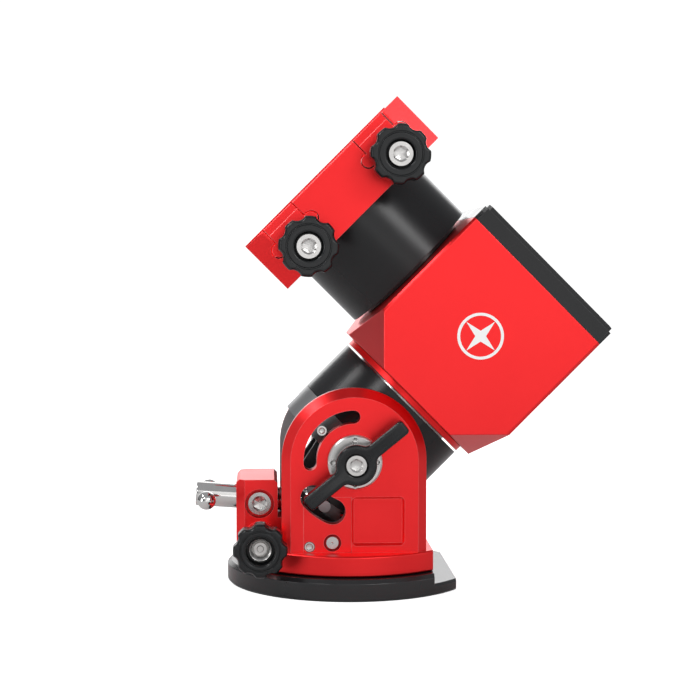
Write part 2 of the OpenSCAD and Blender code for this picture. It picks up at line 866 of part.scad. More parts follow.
module head_cover() {
    bevel = 2.5;
    corner = 2;
    frame_w = 13;
    color(BLACK) ra() difference() {
        union() {
            translate([0, 0, box_u1]) edge_bar(box_v, box_y, cover_t - bevel, corner);
            translate([0, 0, box_u1 + cover_t - bevel])
                edge_bar(box_v - bevel / 2, box_y - bevel / 2, bevel, corner);
        }
        translate([frame_w - box_v, wall - box_y, box_u1 - eps])
            cube([2 * (box_v - frame_w), 2 * (box_y - wall), cover_t - cover_skin + eps]);
        cover_places() {
            translate([0, 0, -cover_t - eps]) cylinder(r = cover_screw_r, h = cover_t + 2 * eps);
            translate([0, 0, -cover_screw_d]) cylinder(r = cover_head_r + eps, h = cover_t);
        }
        // recessed panel with the sockets and the switch
        translate([port_x - panel_h / 2, -panel_w / 2, box_u1 + cover_t - panel_d])
            cube([panel_h, panel_w, cover_t]);
        port_place(power_y) translate([0, 0, -port_l]) cylinder(r = power_r, h = 2 * port_l);
        port_place(data_y) translate([-data_h / 2, -data_w / 2, -port_l])
            cube([data_h, data_w, 2 * port_l]);
        port_place(handset_y) translate([-handset_h / 2, -handset_w / 2, -port_l])
            cube([handset_h, handset_w, 2 * port_l]);
        port_place(switch_y) translate([-switch_h / 2 - gap, -switch_w / 2 - gap, -port_l])
            cube([switch_h + 2 * gap, switch_w + 2 * gap, 2 * port_l]);
        port_place(switch_y) translate([-switch_pin_l / 2 - gap, 0, -switch_depth]) rotate([0, 90, 0])
            cylinder(r = switch_pin_r + run, h = switch_pin_l + 2 * gap);
    }
}

module cover_screws() {
    color(STEEL) ra() cover_places() translate([0, 0, -cover_screw_d])
        socket_screw(cover_screw_r, cover_t + cover_screw_l - cover_screw_d - 1, cover_head_r,
            cover_screw_d - 0.2);
}

// a place on the cover's recessed panel, z outwards, at distance y across the mount
module port_place(y) {
    translate([port_x, y, box_u1 + cover_t - panel_d]) children();
}

module power_inlet() {
    lip = 0.8;
    lip_w = 1.5;
    plug_hole_r = 2.75;
    pin_r = 1;
    color(BLACK) ra() port_place(power_y) {
        difference() {
            union() {
                translate([0, 0, -port_l]) cylinder(r = power_r, h = port_l);
                cylinder(r = power_r + lip_w, h = lip);
            }
            translate([0, 0, 2 - port_l]) cylinder(r = plug_hole_r, h = port_l);
        }
        translate([0, 0, 1 - port_l]) cylinder(r = pin_r, h = port_l - 2);
    }
}

// a rectangular socket with a tongue inside
module socket(w, h, tongue_w, tongue_h) {
    shell = 1;
    lip = 0.4;
    difference() {
        translate([-h / 2, -w / 2, -port_l]) cube([h, w, port_l + lip]);
        translate([-h / 2 + shell, -w / 2 + shell, -port_l + shell])
            cube([h - 2 * shell, w - 2 * shell, port_l]);
    }
    translate([-tongue_h / 2, -tongue_w / 2, -port_l + shell / 2])
        cube([tongue_h, tongue_w, port_l - 2]);
}

module data_socket() {
    color(STEEL) ra() port_place(data_y) socket(data_w, data_h, 5.6, 3.2);
}

module handset_socket() {
    color(GREY) ra() port_place(handset_y) socket(handset_w, handset_h, 8, 0.8);
}

module power_switch() {
    dish = 1.2;
    high = 2.1;
    shoulder = 1;
    low = -3;
    half = switch_w / 2;
    foot = half - 0.6;
    // rocks on a pin just under the panel's face, and rests in its off position
    color(BLACK) ra() port_place(switch_y) translate([0, 0, -switch_depth]) {
        rotate([-switch_tilt, 0, 0]) rotate([90, 0, 90]) translate([0, 0, -switch_h / 2])
            linear_extrude(switch_h) polygon([[-foot, low], [foot, low], [half, shoulder],
                [half, high], [0, high - dish], [-half, high], [-half, shoulder]]);
        rotate([0, 90, 0]) translate([0, 0, -switch_pin_l / 2])
            cylinder(r = switch_pin_r, h = switch_pin_l);
    }
}

module circuit_board() {
    board_t = 1.6;
    board_x = 68;
    board_y = 96;
    below = 12;
    post_r = 2;
    color(GREEN) ra() translate([-board_x / 2, -board_y / 2, box_u1 - below]) {
        cube([board_x, board_y, board_t]);
        // posts that hang the board from the cover
        for (x = [3, board_x - 3], y = [6, board_y - 6]) translate([x, y, board_t])
            cylinder(r = post_r, h = below + cover_t - cover_skin - board_t);
    }
}

module drive_motors() {
    color(GREY) {
        ra() translate([0, 0, box_u0 + wall]) motor();
        dec() translate([0, 0, box_v - wall]) mirror([0, 0, 1]) motor();
    }
}

module motor() {
    difference() {
        edge_bar(motor_a / 2, motor_a / 2, motor_l, 3);
        translate([0, 0, -eps]) cylinder(r = shaft_r + 1, h = motor_l / 2);
    }
}

module dec_neck_ring() {
    color(BLACK) dec() translate([0, 0, box_v]) ring(dec_bore - run, spline_r, neck_l);
}

module dec_circular_spline() {
    color(STEEL) dec() translate([0, 0, box_v + neck_l]) ring(dec_bore - 1, spline_r, spline_l);
}

module counterweight_insert() {
    flange_r = 13;
    color(STEEL) dec() translate([0, 0, -box_v]) difference() {
        union() {
            cylinder(r = insert_r, h = insert_l);
            translate([0, 0, wall]) cylinder(r = flange_r, h = insert_l - wall);
        }
        translate([0, 0, -eps]) cylinder(r = weight_thread_r, h = insert_l + 2 * eps);
    }
}

// a plain star inside a ring
module emblem() {
    size = 13;
    line = 1.6;
    star_w = 2.6;
    raised = 0.4;
    star_l = size - line - eps;
    color(WHITE) ra() translate([-1, -box_y, emblem_u]) rotate([90, 0, 0]) linear_extrude(raised) {
        difference() {
            circle(r = size);
            circle(r = size - line);
        }
        for (a = [0, 90]) rotate(a) polygon([[-star_l, 0], [0, -star_w], [star_l, 0], [0, star_w]]);
    }
}

// the drive's elliptic bearing and the motor shaft that turns it
module wave_generator(shaft_l) {
    disc_t = spline_l - 2;
    hole_circle = 16;
    hole_r = 4;
    difference() {
        cylinder(r = wave_r - 1, h = disc_t);
        for (a = [30 : 60 : 330]) rotate(a) translate([hole_circle, 0, -eps])
            cylinder(r = hole_r, h = disc_t + 2 * eps);
    }
    translate([0, 0, -shaft_l]) cylinder(r = shaft_r, h = shaft_l + disc_t + 1);
}

module ra_wave_generator() {
    color(STEEL) ra() translate([0, 0, spline_u0 + spline_l - 1]) mirror([0, 0, 1])
        wave_generator(box_u0 + wall + gap + 5 - spline_u0 - spline_l + 1);
}

module dec_wave_generator() {
    color(STEEL) dec() translate([0, 0, box_v + neck_l + 1])
        wave_generator(neck_l + wall + 1 + 5);
}

// ---------- declination head ----------

module saddle_places() {
    for (a = [45 : 90 : 315]) rotate(a) translate([saddle_circle, 0, 0]) children();
}

// the two screws that hold the fixed jaw, z towards the far side
module jaw_places(y) {
    for (s = [-1, 1]) translate([s * jaw_screw_u, y, knob_v]) rotate([-90, 0, 0]) children();
}

module dec_housing() {
    roof_t = 8;
    color(BLACK) dec() difference() {
        translate([0, 0, dec_v0]) cylinder(r = drive_r, h = saddle_v0 - dec_v0);
        translate([0, 0, dec_v0 - eps])
            cylinder(r = dec_bore, h = saddle_v0 - dec_v0 - roof_t + eps);
        saddle_places() translate([0, 0, saddle_v0 - roof_t - eps])
            cylinder(r = saddle_screw_r, h = roof_t + 2 * eps);
    }
}

// outline of a clamp block seen from the side, grown by g
module clamp_outline(g, top) {
    translate([-clamp_w / 2 - g, clamp_v0 - g]) square([clamp_w + 2 * g, top - clamp_v0 + g]);
    for (s = [-1, 1]) translate([s * lobe_u, lobe_v]) circle(r = lobe_r + g);
}

// a shape drawn in the saddle's side view, from depth y0 to y1
module saddle_side(y0, y1) {
    translate([0, y1, 0]) rotate([90, 0, 0]) linear_extrude(y1 - y0) children();
}

// a bar as long as the saddle whose near top edge is chamfered
module near_edge(l) {
    rotate([90, 0, 90]) translate([0, 0, -l / 2]) linear_extrude(l) polygon([
        [-saddle_y, clamp_v0 - 2], [-saddle_y, saddle_v1 - edge_c],
        [edge_c - saddle_y, saddle_v1], [jaw_y, saddle_v1], [jaw_y, clamp_v0 - 2]]);
}

module saddle_base() {
    wall_in = 41.5;
    fillet = 4;
    color(RED) dec() difference() {
        intersection() {
            translate([0, 0, saddle_v0]) linear_extrude(saddle_v1 - saddle_v0) polygon([
                [-saddle_l / 2, jaw_y], [-saddle_l / 2, end_d - saddle_y],
                [end_w - saddle_l / 2, -saddle_y], [saddle_l / 2 - end_w, -saddle_y],
                [saddle_l / 2, end_d - saddle_y], [saddle_l / 2, jaw_y]]);
            near_edge(saddle_l);
        }
        // channel for a wide dovetail plate, open on top
        translate([-saddle_l, -wall_in, channel_v])
            cube([2 * saddle_l, wall_in + jaw_y + eps, saddle_v1]);
        // channel for a narrow dovetail plate, in its floor
        rotate([90, 0, 90]) translate([0, 0, -saddle_l]) linear_extrude(2 * saddle_l)
            polygon([[-groove_half, groove_v], [groove_half, groove_v],
                [groove_half - fillet, channel_v + eps], [fillet - groove_half, channel_v + eps]]);
        for (s = [-1, 1]) translate([s * clamp_u, 0, 0]) {
            saddle_side(-saddle_y - eps, -clamp_y1 + gap) clamp_outline(clamp_gap, saddle_v1 + 1);
            translate([0, -clamp_y1, knob_v]) rotate([-90, 0, 0])
                cylinder(r = clamp_screw_r + run, h = clamp_y1 - clamp_tip_y + 2);
        }
        saddle_places() {
            translate([0, 0, saddle_v0 - eps]) cylinder(r = saddle_screw_r, h = channel_v);
            translate([0, 0, saddle_seat]) cylinder(r = saddle_bore_r, h = channel_v);
        }
        jaw_places(jaw_y - jaw_screw_l + jaw_seat - 2)
            cylinder(r = saddle_screw_r, h = jaw_screw_l);
    }
}

module fixed_jaw() {
    rise = jaw_v1 - channel_v - gap;
    nose = rise * tan(jaw_slope);
    color(RED) dec() difference() {
        rotate([90, 0, 90]) translate([0, 0, -saddle_l / 2]) linear_extrude(saddle_l) polygon([
            [jaw_y, saddle_v0 + 2], [jaw_out - 2, saddle_v0 + 2], [jaw_out, saddle_v0 + 4],
            [jaw_out, jaw_v1 - 2], [jaw_out - 2, jaw_v1], [channel_half - nose, jaw_v1],
            [channel_half, channel_v + gap], [jaw_y, channel_v + gap]]);
        jaw_places(jaw_y - eps) {
            cylinder(r = saddle_screw_r, h = jaw_screw_l);
            translate([0, 0, jaw_seat]) cylinder(r = saddle_bore_r, h = jaw_screw_l);
        }
    }
}

module saddle_screws() {
    color(STEEL) dec() {
        saddle_places() translate([0, 0, saddle_seat])
            socket_screw(saddle_screw_r, 11, saddle_head_r, 4.6);
        jaw_places(jaw_y + jaw_seat - eps)
            socket_screw(saddle_screw_r, jaw_screw_l, saddle_head_r, 5);
    }
}

module clamp_block(s) {
    rise = saddle_v1 - channel_v;
    nose = rise * tan(jaw_slope);
    step_v = saddle_v1 - 4.8;
    step_d = 0.35;
    color(RED) dec() translate([s * clamp_u, 0, 0]) difference() {
        union() {
            intersection() {
                saddle_side(-saddle_y, -clamp_y1) clamp_outline(0, saddle_v1);
                near_edge(saddle_l);
            }
            // sloping jaw that grips the plate
            rotate([90, 0, 90]) translate([0, 0, -clamp_w / 2]) linear_extrude(clamp_w) polygon([
                [-clamp_y1, channel_v + gap], [-channel_half, channel_v + gap],
                [nose - channel_half, saddle_v1], [-clamp_y1, saddle_v1]]);
        }
        translate([0, -saddle_y - eps, knob_v]) rotate([-90, 0, 0])
            cylinder(r = clamp_screw_r + run, h = saddle_y);
        // shallow step across the outer face, just under the top edge
        translate([-clamp_w, -saddle_y - eps, step_v]) cube([2 * clamp_w, step_d + eps, channel_v]);
    }
}

module clamp_knob(s) {
    neck = knob_y1 - knob_t - saddle_y - gap;
    color(BLACK) dec() translate([s * clamp_u, 0, knob_v]) rotate([90, 0, 0])
        translate([0, 0, knob_y1 - knob_t])
            knob(saddle_knob_r, knob_t, clamp_neck_r, neck, clamp_recess_r, clamp_recess, clamp_screw_r,
                clamp_knob_phase);
}

module clamp_screw(s) {
    head_y = knob_y1 - clamp_recess;
    color(STEEL) dec() translate([s * clamp_u, 0, knob_v]) rotate([90, 0, 0])
        translate([0, 0, head_y])
            socket_screw(clamp_screw_r, head_y - clamp_tip_y, clamp_head_r, clamp_head_h);
}

module clamp_block_a() { clamp_block(-1); }
module clamp_block_b() { clamp_block(1); }
module clamp_knob_a() { clamp_knob(-1); }
module clamp_knob_b() { clamp_knob(1); }
module clamp_screw_a() { clamp_screw(-1); }
module clamp_screw_b() { clamp_screw(1); }

base_plate();
azimuth_washer();
azimuth_cap();
azimuth_lug();
base_disc();
cheek_near();
cheek_far();
adjuster_block();
pivot_flanges();
flange_screws();
block_screws();
cheek_screws();
cheek_pins();
friction_plates();
ra_housing();
ra_rear_cap();
tail_arms();
trunnions();
guide_screws();
ra_circular_spline();
altitude_rod();
tommy_bar();
altitude_nut();
thrust_pad_near();
thrust_pad_far();
azimuth_knob_near();
azimuth_knob_far();
azimuth_screw_near();
azimuth_screw_far();
lock_lever_near();
lock_lever_far();
lever_screw_near();
lever_screw_far();
ra_flange();
ra_neck_ring();
head_casing();
head_cover();
cover_screws();
power_inlet();
data_socket();
handset_socket();
circuit_board();
drive_motors();
dec_neck_ring();
dec_circular_spline();
counterweight_insert();
emblem();
power_switch();
ra_wave_generator();
dec_wave_generator();
dec_housing();
saddle_base();
fixed_jaw();
saddle_screws();
clamp_block_a();
clamp_block_b();
clamp_knob_a();
clamp_knob_b();
clamp_screw_a();
clamp_screw_b();
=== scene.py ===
import bpy
import bmesh
import json
import math
from mathutils import Matrix, Vector

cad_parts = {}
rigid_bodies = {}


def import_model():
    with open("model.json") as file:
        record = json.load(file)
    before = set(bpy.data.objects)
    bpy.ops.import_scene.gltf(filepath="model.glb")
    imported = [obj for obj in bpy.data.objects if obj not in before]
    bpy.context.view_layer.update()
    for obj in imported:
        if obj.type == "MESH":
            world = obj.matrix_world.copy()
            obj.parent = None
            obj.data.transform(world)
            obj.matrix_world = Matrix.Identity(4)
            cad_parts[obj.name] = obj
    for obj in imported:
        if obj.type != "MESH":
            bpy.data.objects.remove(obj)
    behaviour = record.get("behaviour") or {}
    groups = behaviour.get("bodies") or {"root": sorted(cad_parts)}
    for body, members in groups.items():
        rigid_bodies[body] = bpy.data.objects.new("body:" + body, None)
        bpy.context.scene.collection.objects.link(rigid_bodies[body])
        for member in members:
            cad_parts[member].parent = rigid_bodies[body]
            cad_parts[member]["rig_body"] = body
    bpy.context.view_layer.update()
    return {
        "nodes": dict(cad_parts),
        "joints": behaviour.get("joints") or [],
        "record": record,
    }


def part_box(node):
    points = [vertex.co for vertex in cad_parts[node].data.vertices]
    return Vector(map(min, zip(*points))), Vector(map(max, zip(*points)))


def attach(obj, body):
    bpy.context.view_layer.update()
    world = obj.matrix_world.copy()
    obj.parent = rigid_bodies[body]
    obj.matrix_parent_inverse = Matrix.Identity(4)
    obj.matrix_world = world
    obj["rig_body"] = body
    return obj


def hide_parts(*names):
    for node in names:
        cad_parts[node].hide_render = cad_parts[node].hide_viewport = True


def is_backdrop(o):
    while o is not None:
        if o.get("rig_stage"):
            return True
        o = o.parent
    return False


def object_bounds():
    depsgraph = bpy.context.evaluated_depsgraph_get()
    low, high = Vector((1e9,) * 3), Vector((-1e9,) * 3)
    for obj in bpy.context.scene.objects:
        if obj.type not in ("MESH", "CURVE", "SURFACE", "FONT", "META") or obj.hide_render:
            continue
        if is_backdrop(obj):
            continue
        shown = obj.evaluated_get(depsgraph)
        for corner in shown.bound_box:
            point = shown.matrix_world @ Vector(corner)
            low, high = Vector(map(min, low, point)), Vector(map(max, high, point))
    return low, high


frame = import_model()
nodes = frame["nodes"]

MM = 0.001
UP = Vector((0, 0, 1))


# ---------- helpers for materials ----------

def new_node(tree, kind, inputs=None, **props):
    """A shader node; inputs maps a socket's name or number to a value or to another node's output."""
    made = tree.nodes.new("ShaderNode" + kind)
    for name, value in props.items():
        setattr(made, name, value)
    for key, value in (inputs or {}).items():
        if isinstance(value, bpy.types.NodeSocket):
            tree.links.new(value, made.inputs[key])
        else:
            made.inputs[key].default_value = value
    return made


def math_node(tree, operation, a, b=0.0):
    return new_node(tree, "Math", {0: a, 1: b}, operation=operation).outputs[0]


def blend_colour(tree, factor, low, high):
    ramp = new_node(tree, "ValToRGB", {0: factor})
    ramp.color_ramp.elements[0].color = (*low, 1)
    ramp.color_ramp.elements[1].color = (*high, 1)
    return ramp.outputs[0]


def spread(tree, value, low, high):
    """A 0 to 1 value stretched to run from low to high."""
    return new_node(tree, "MapRange", {0: value, 3: low, 4: high}).outputs[0]


def object_coords(tree):
    return new_node(tree, "TexCoord").outputs["Object"]


def noise(tree, coords, size, detail=2.0, rough=0.5):
    """Noise whose features are about size metres wide."""
    made = new_node(tree, "TexNoise",
                    {"Vector": coords, "Scale": 1 / size, "Detail": detail, "Roughness": rough})
    return made.outputs[0]


def edge_mask(tree, radius):
    """1 close to an edge, 0 away from it."""
    bent = new_node(tree, "Bevel", {"Radius": radius}, samples=4).outputs[0]
    flat = new_node(tree, "NewGeometry").outputs["Normal"]
    dot = new_node(tree, "VectorMath", {0: bent, 1: flat}, operation="DOT_PRODUCT").outputs["Value"]
    return new_node(tree, "MapRange", {0: dot, 1: 0.995, 2: 0.90, 3: 0.0, 4: 1.0}).outputs[0]


def painted_shade_factor(tree, reach, darkest, open_at):
    """Painted shade mask: 1 on open faces, falling to darkest deep in a gap, a slot or a socket."""
    deep = 0.08
    sky = new_node(tree, "AmbientOcclusion", {"Distance": reach}, samples=6).outputs["AO"]
    return new_node(tree, "MapRange",
                    {0: sky, 1: deep, 2: open_at, 3: darkest, 4: 1.0}).outputs[0]


def shaded(tree, colour, reach, darkest=0.03, open_at=0.45):
    """A colour with painted shade: it goes dark where little light gets in."""
    return new_node(tree, "Mix", {0: painted_shade_factor(tree, reach, darkest, open_at),
                                  6: (0, 0, 0, 1), 7: colour}, data_type="RGBA").outputs[2]


def principled(name, metallic, specular=0.5, coat=0.0, coat_rough=0.2):
    material = bpy.data.materials.new(name)
    material.use_nodes = True
    tree = material.node_tree
    shader = tree.nodes["Principled BSDF"]
    shader.inputs["Metallic"].default_value = metallic
    shader.inputs["Specular IOR Level"].default_value = specular
    shader.inputs["Coat Weight"].default_value = coat
    shader.inputs["Coat Roughness"].default_value = coat_rough
    return material, tree, shader


def plug(tree, shader, **sockets):
    names = {"colour": "Base Color", "rough": "Roughness", "normal": "Normal"}
    for key, value in sockets.items():
        tree.links.new(value, shader.inputs[names[key]])


def bump(tree, height, distance, strength=1.0):
    return new_node(tree, "Bump", {"Height": height, "Distance": distance,
                                   "Strength": strength}).outputs[0]


def split_by_camera(tree, output, seen, unseen):
    """The camera sees one shader, every other ray meets the other."""
    ray = new_node(tree, "LightPath").outputs["Is Camera Ray"]
    mixed = new_node(tree, "MixShader", {0: ray, 1: unseen.outputs[0], 2: seen.outputs[0]})
    tree.links.new(mixed.outputs[0], tree.nodes[output].inputs[0])


# ---------- materials ----------

def blasted_metal(name, colour, dark, edge, metallic, rough, grain=0.16 * MM, depth=0.006 * MM,
                  reach=3 * MM, open_at=0.45, specular=0.5):
    """Bead-blasted and anodised aluminium: fine grain, faint clouding, a lighter colour on the edges
    that is partly wear and partly a painted highlight, and painted shade in its gaps.
    """
    material, tree, shader = principled(name, metallic, specular)
    coords = object_coords(tree)
    cloud = noise(tree, coords, 28 * MM, 3.0)
    speck = noise(tree, coords, 1.1 * MM, 4.0, 0.7)
    tone = blend_colour(tree, math_node(tree, "ADD", math_node(tree, "MULTIPLY", cloud, 0.7),
                                        math_node(tree, "MULTIPLY", speck, 0.3)), dark, colour)
    # Lighter edge colour: partly wear, partly a painted highlight along the rounded edges.
    wear_and_painted_highlight = math_node(tree, "MULTIPLY", edge_mask(tree, 0.45 * MM), spread(tree, speck, 0.2, 0.9))
    tint = new_node(tree, "Mix", {0: wear_and_painted_highlight, 6: tone, 7: (*edge, 1)}, data_type="RGBA").outputs[2]
    grains = noise(tree, coords, grain, 2.0)
    # Painted shade: the colour is darkened by ambient occlusion in gaps, slots and sockets.
    plug(tree, shader, colour=shaded(tree, tint, reach, open_at=open_at),
         rough=spread(tree, cloud, rough - 0.04, rough + 0.05),
         normal=bump(tree, grains, depth))
    return material


def radial_distance(tree, coords, point, axis):
    """Distance from an axis that runs along X, Y or Z through a point."""
    moved = new_node(tree, "VectorMath", {0: coords, 1: point}, operation="SUBTRACT").outputs[0]
    keep = tuple(0.0 if name == axis else 1.0 for name in "XYZ")
    flat = new_node(tree, "VectorMath", {0: moved, 1: keep}, operation="MULTIPLY").outputs[0]
    return new_node(tree, "VectorMath", {0: flat}, operation="LENGTH").outputs["Value"]


def turned_metal(name, colour, rough, point=(0, 0, 0), axis="Z", pitch=0.22 * MM,
                 depth=0.004 * MM, reach=1.5 * MM, open_at=0.45):
    """Metal cut on a lathe: fine rings round its axis, and faint handling marks."""
    material, tree, shader = principled(name, 1.0)
    coords = object_coords(tree)
    rings = radial_distance(tree, coords, point, axis)
    wave = math_node(tree, "SINE", math_node(tree, "MULTIPLY", rings, 2 * math.pi / pitch))
    broken = noise(tree, coords, 0.9 * MM, 3.0)
    marks = math_node(tree, "MULTIPLY", wave, spread(tree, broken, 0.4, 1.0))
    smear = noise(tree, coords, 6 * MM, 4.0, 0.6)
    tone = blend_colour(tree, smear, tuple(0.82 * c for c in colour), colour)
    # Painted shade: the colour is darkened by ambient occlusion in hollows and sockets.
    plug(tree, shader, colour=shaded(tree, tone, reach, 0.25, open_at),
         rough=spread(tree, smear, rough - 0.05, rough + 0.07),
         normal=bump(tree, marks, depth))
    return material


def moulded_plastic(name, colour, rough, grain=0.35 * MM, depth=0.02 * MM, specular=0.5):
    """Moulded plastic with a fine leathery grain, a little polished on its edges."""
    material, tree, shader = principled(name, 0.0, specular)
    coords = object_coords(tree)
    cells = new_node(tree, "TexVoronoi", {"Vector": coords, "Scale": 1 / grain}).outputs[0]
    smear = noise(tree, coords, 9 * MM, 4.0, 0.6)
    tone = blend_colour(tree, smear, tuple(0.75 * c for c in colour), colour)
    handled = math_node(tree, "MULTIPLY", edge_mask(tree, 0.5 * MM), -0.12)
    plug(tree, shader, colour=tone,
         rough=math_node(tree, "ADD", spread(tree, smear, rough - 0.04, rough + 0.06), handled),
         normal=bump(tree, cells, depth, 0.6))
    return material


def board_material(name):
    """Circuit board: green lacquer over faint copper tracks."""
    material, tree, shader = principled(name, 0.0, 0.5, 0.4, 0.15)
    coords = object_coords(tree)
    tracks = new_node(tree, "TexBrick", {"Vector": coords, "Scale": 180.0, "Mortar Size": 0.03,
                                         1: (0.01, 0.11, 0.05, 1), 2: (0.012, 0.13, 0.06, 1),
                                         3: (0.04, 0.22, 0.10, 1)})
    plug(tree, shader, colour=tracks.outputs[0],
         rough=spread(tree, noise(tree, coords, 4 * MM), 0.3, 0.45),
         normal=bump(tree, tracks.outputs[1], 0.02 * MM))
    return material


def printed_white(name):
    material, tree, shader = principled(name, 0.0)
    coords = object_coords(tree)
    ink = noise(tree, coords, 0.6 * MM, 3.0)
    plug(tree, shader, colour=blend_colour(tree, ink, (0.92, 0.92, 0.91), (0.98, 0.98, 0.97)),
         rough=spread(tree, ink, 0.42, 0.55), normal=bump(tree, ink, 0.004 * MM))
    return material


MATERIALS = {
    # A blasted metal's third colour is its edge colour: partly wear, partly a painted highlight.
    "red_anodised": blasted_metal("red_anodised", (0.94, 0.030, 0.032), (0.86, 0.022, 0.025),
                                  (1.0, 0.34, 0.34), 0.82, 0.33),
    "black_anodised": blasted_metal("black_anodised", (0.014, 0.014, 0.015),
                                    (0.009, 0.009, 0.010), (0.10, 0.10, 0.105), 0.0, 0.24,
                                    specular=0.32),
    "knob_black": moulded_plastic("knob_black", (0.011, 0.012, 0.013), 0.25, specular=0.35),
    # reach and open_at tune how far the painted shade reaches into gaps and hollows.
    "grey_anodised": blasted_metal("grey_anodised", (0.34, 0.34, 0.345), (0.26, 0.26, 0.265),
                                   (0.55, 0.55, 0.55), 0.85, 0.34, reach=12 * MM,
                                   open_at=0.9),
    "stainless": turned_metal("stainless", (0.66, 0.645, 0.63), 0.24),
    "polished_steel": turned_metal("polished_steel", (0.78, 0.765, 0.75), 0.11, depth=0.001 * MM),
    "gear_steel": turned_metal("gear_steel", (0.42, 0.42, 0.43), 0.33, reach=14 * MM,
                               open_at=0.9),
    "bronze": turned_metal("bronze", (0.60, 0.42, 0.20), 0.30),
    "socket_plastic": moulded_plastic("socket_plastic", (0.018, 0.018, 0.019), 0.38,
                                      0.25 * MM, 0.01 * MM),
    "socket_metal": blasted_metal("socket_metal", (0.62, 0.62, 0.61), (0.5, 0.5, 0.49),
                                  (0.8, 0.8, 0.79), 1.0, 0.26),
    "circuit": board_material("circuit"),
    "motor_case": blasted_metal("motor_case", (0.10, 0.10, 0.105), (0.07, 0.07, 0.072),
                                (0.4, 0.4, 0.4), 0.5, 0.42),
    "emblem_white": printed_white("emblem_white"),
}
pivot = sum(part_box("trunnions"), Vector()) / 2
LEVER_BLACK = moulded_plastic("lever_black", (0.010, 0.011, 0.012), 0.20, 0.5 * MM, 0.005 * MM,
                              specular=0.35)
PLATE_BLACK = blasted_metal("plate_black", (0.018, 0.018, 0.019), (0.012, 0.012, 0.013),
                            (0.16, 0.16, 0.165), 0.0, 0.2, depth=0.003 * MM)
TURNED_AT_PIVOT = turned_metal("turned_flange", (0.70, 0.685, 0.67), 0.30,
                               tuple(pivot), "Y", 0.28 * MM, 0.0008 * MM)


# ---------- CAD nodes: edges eased, material from the record's slot ----------

EASED = {"red_anodised": 0.35 * MM, "black_anodised": 0.4 * MM, "grey_anodised": 0.35 * MM,
         "stainless": 0.2 * MM}
WIDER = {"head_casing": 0.7 * MM, "head_cover": 0.7 * MM, "cheek_near": 0.5 * MM,
         "cheek_far": 0.5 * MM, "base_disc": 0.5 * MM, "adjuster_block": 0.6 * MM,
         "saddle_base": 0.15 * MM, "clamp_block_a": 0.15 * MM, "clamp_block_b": 0.15 * MM}
SLOT_OF = {s["node"]: s["material_slot"] for s in frame["record"]["subparts"]}


def ease_edges(obj, width):
    """Joins the CAD faces, merges the flat ones and rounds their edges."""
    obj.modifiers.new("weld", "WELD").merge_threshold = 0.001 * MM
    flat = obj.modifiers.new("flat", "DECIMATE")
    flat.decimate_type = "DISSOLVE"
    flat.angle_limit = math.radians(0.5)
    round_over = obj.modifiers.new("edges", "BEVEL")
    round_over.width = width
    round_over.segments = 3
    round_over.limit_method = "ANGLE"
    round_over.angle_limit = math.radians(28)
    round_over.miter_outer = "MITER_ARC"
    round_over.use_clamp_overlap = True
    round_over.harden_normals = True
    smooth = obj.modifiers.new("normals", "WEIGHTED_NORMAL")
    smooth.keep_sharp = True


for name, obj in nodes.items():
    slot = SLOT_OF[name]
    obj.data.materials.clear()
    obj.data.materials.append(MATERIALS[slot])
    if slot in EASED:
        ease_edges(obj, WIDER.get(name, EASED[slot]))
nodes["pivot_flanges"].data.materials[0] = TURNED_AT_PIVOT
nodes["base_plate"].data.materials[0] = PLATE_BLACK


# ---------- helpers for turned and stacked meshes ----------

NEAR = Vector((0, -1, 0))
FAR = Vector((0, 1, 0))
AWAY = Vector((-1, 0, 0))       # away from the pole side


def plain(r, angle, height):
    return r


def hexagon(r, angle, height):
    """r is the distance to a corner."""
    sector = math.radians(60)
    return r * math.cos(sector / 2) / math.cos(angle % sector - sector / 2)


def soft_min(a, b, blend):
    near = max(blend - abs(a - b), 0) / blend
    return min(a, b) - near * near * blend / 4


def scalloped(outer, count, bite, phase):
    """A rim of radius outer, with count scallops of radius bite cut into it."""
    centre = outer + 0.65 * bite
    sector = 2 * math.pi / count

    def form(r, angle, height):
        off = abs((angle - phase + sector / 2) % sector - sector / 2)
        across = centre * math.sin(off)
        cut = 2 * outer
        if across < bite:
            cut = centre * math.cos(off) - math.sqrt(bite * bite - across * across)
        return r - outer + soft_min(outer, cut, 0.5 * MM)
    return form


def knurled(count, depth):
    def form(r, angle, height):
        return r - depth * abs(math.sin(count * angle / 2))
    return form


def threaded(pitch, depth):
    def form(r, angle, height):
        turn = (height / pitch - angle / (2 * math.pi)) % 1
        return r - depth * abs(2 * turn - 1)
    return form


def eased(points, steps=3):
    """Rounds the corners of a profile; a point is (radius, height, form, ease)."""
    made = []
    for i, (r, z, form, ease) in enumerate(points):
        if ease == 0 or i in (0, len(points) - 1):
            made.append((r, z, form))
            continue
        corner, before, after = (Vector(points[k][:2]) for k in (i, i - 1, i + 1))
        cut = min(ease, 0.45 * (before - corner).length, 0.45 * (after - corner).length)
        start = corner + (before - corner).normalized() * cut
        end = corner + (after - corner).normalized() * cut
        for k in range(steps + 1):
            t = k / steps
            at = start * (1 - t) ** 2 + corner * 2 * t * (1 - t) + end * t * t
            made.append((at.x, at.y, form))
    return made


def add_object(name, data):
    obj = bpy.data.objects.new(name, data)
    bpy.context.scene.collection.objects.link(obj)
    return obj


def link_mesh(name, edit, sharp=35):
    bmesh.ops.recalc_face_normals(edit, faces=edit.faces)
    mesh = bpy.data.meshes.new(name)
    edit.to_mesh(mesh)
    edit.free()
    mesh.polygons.foreach_set("use_smooth", [True] * len(mesh.polygons))
    mesh.set_sharp_from_angle(angle=math.radians(sharp))
    return add_object(name, mesh)


def skin_rings(edit, rings, closed):
    """Faces between neighbouring rings of the same number of vertices."""
    count = len(rings[0])
    for low, high in zip(rings, rings[1:] + (rings[:1] if closed else [])):
        for i in range(count):
            j = (i + 1) % count
            corners = list(dict.fromkeys([low[i], low[j], high[j], high[i]]))
            if len(corners) > 2:
                edit.faces.new(corners)


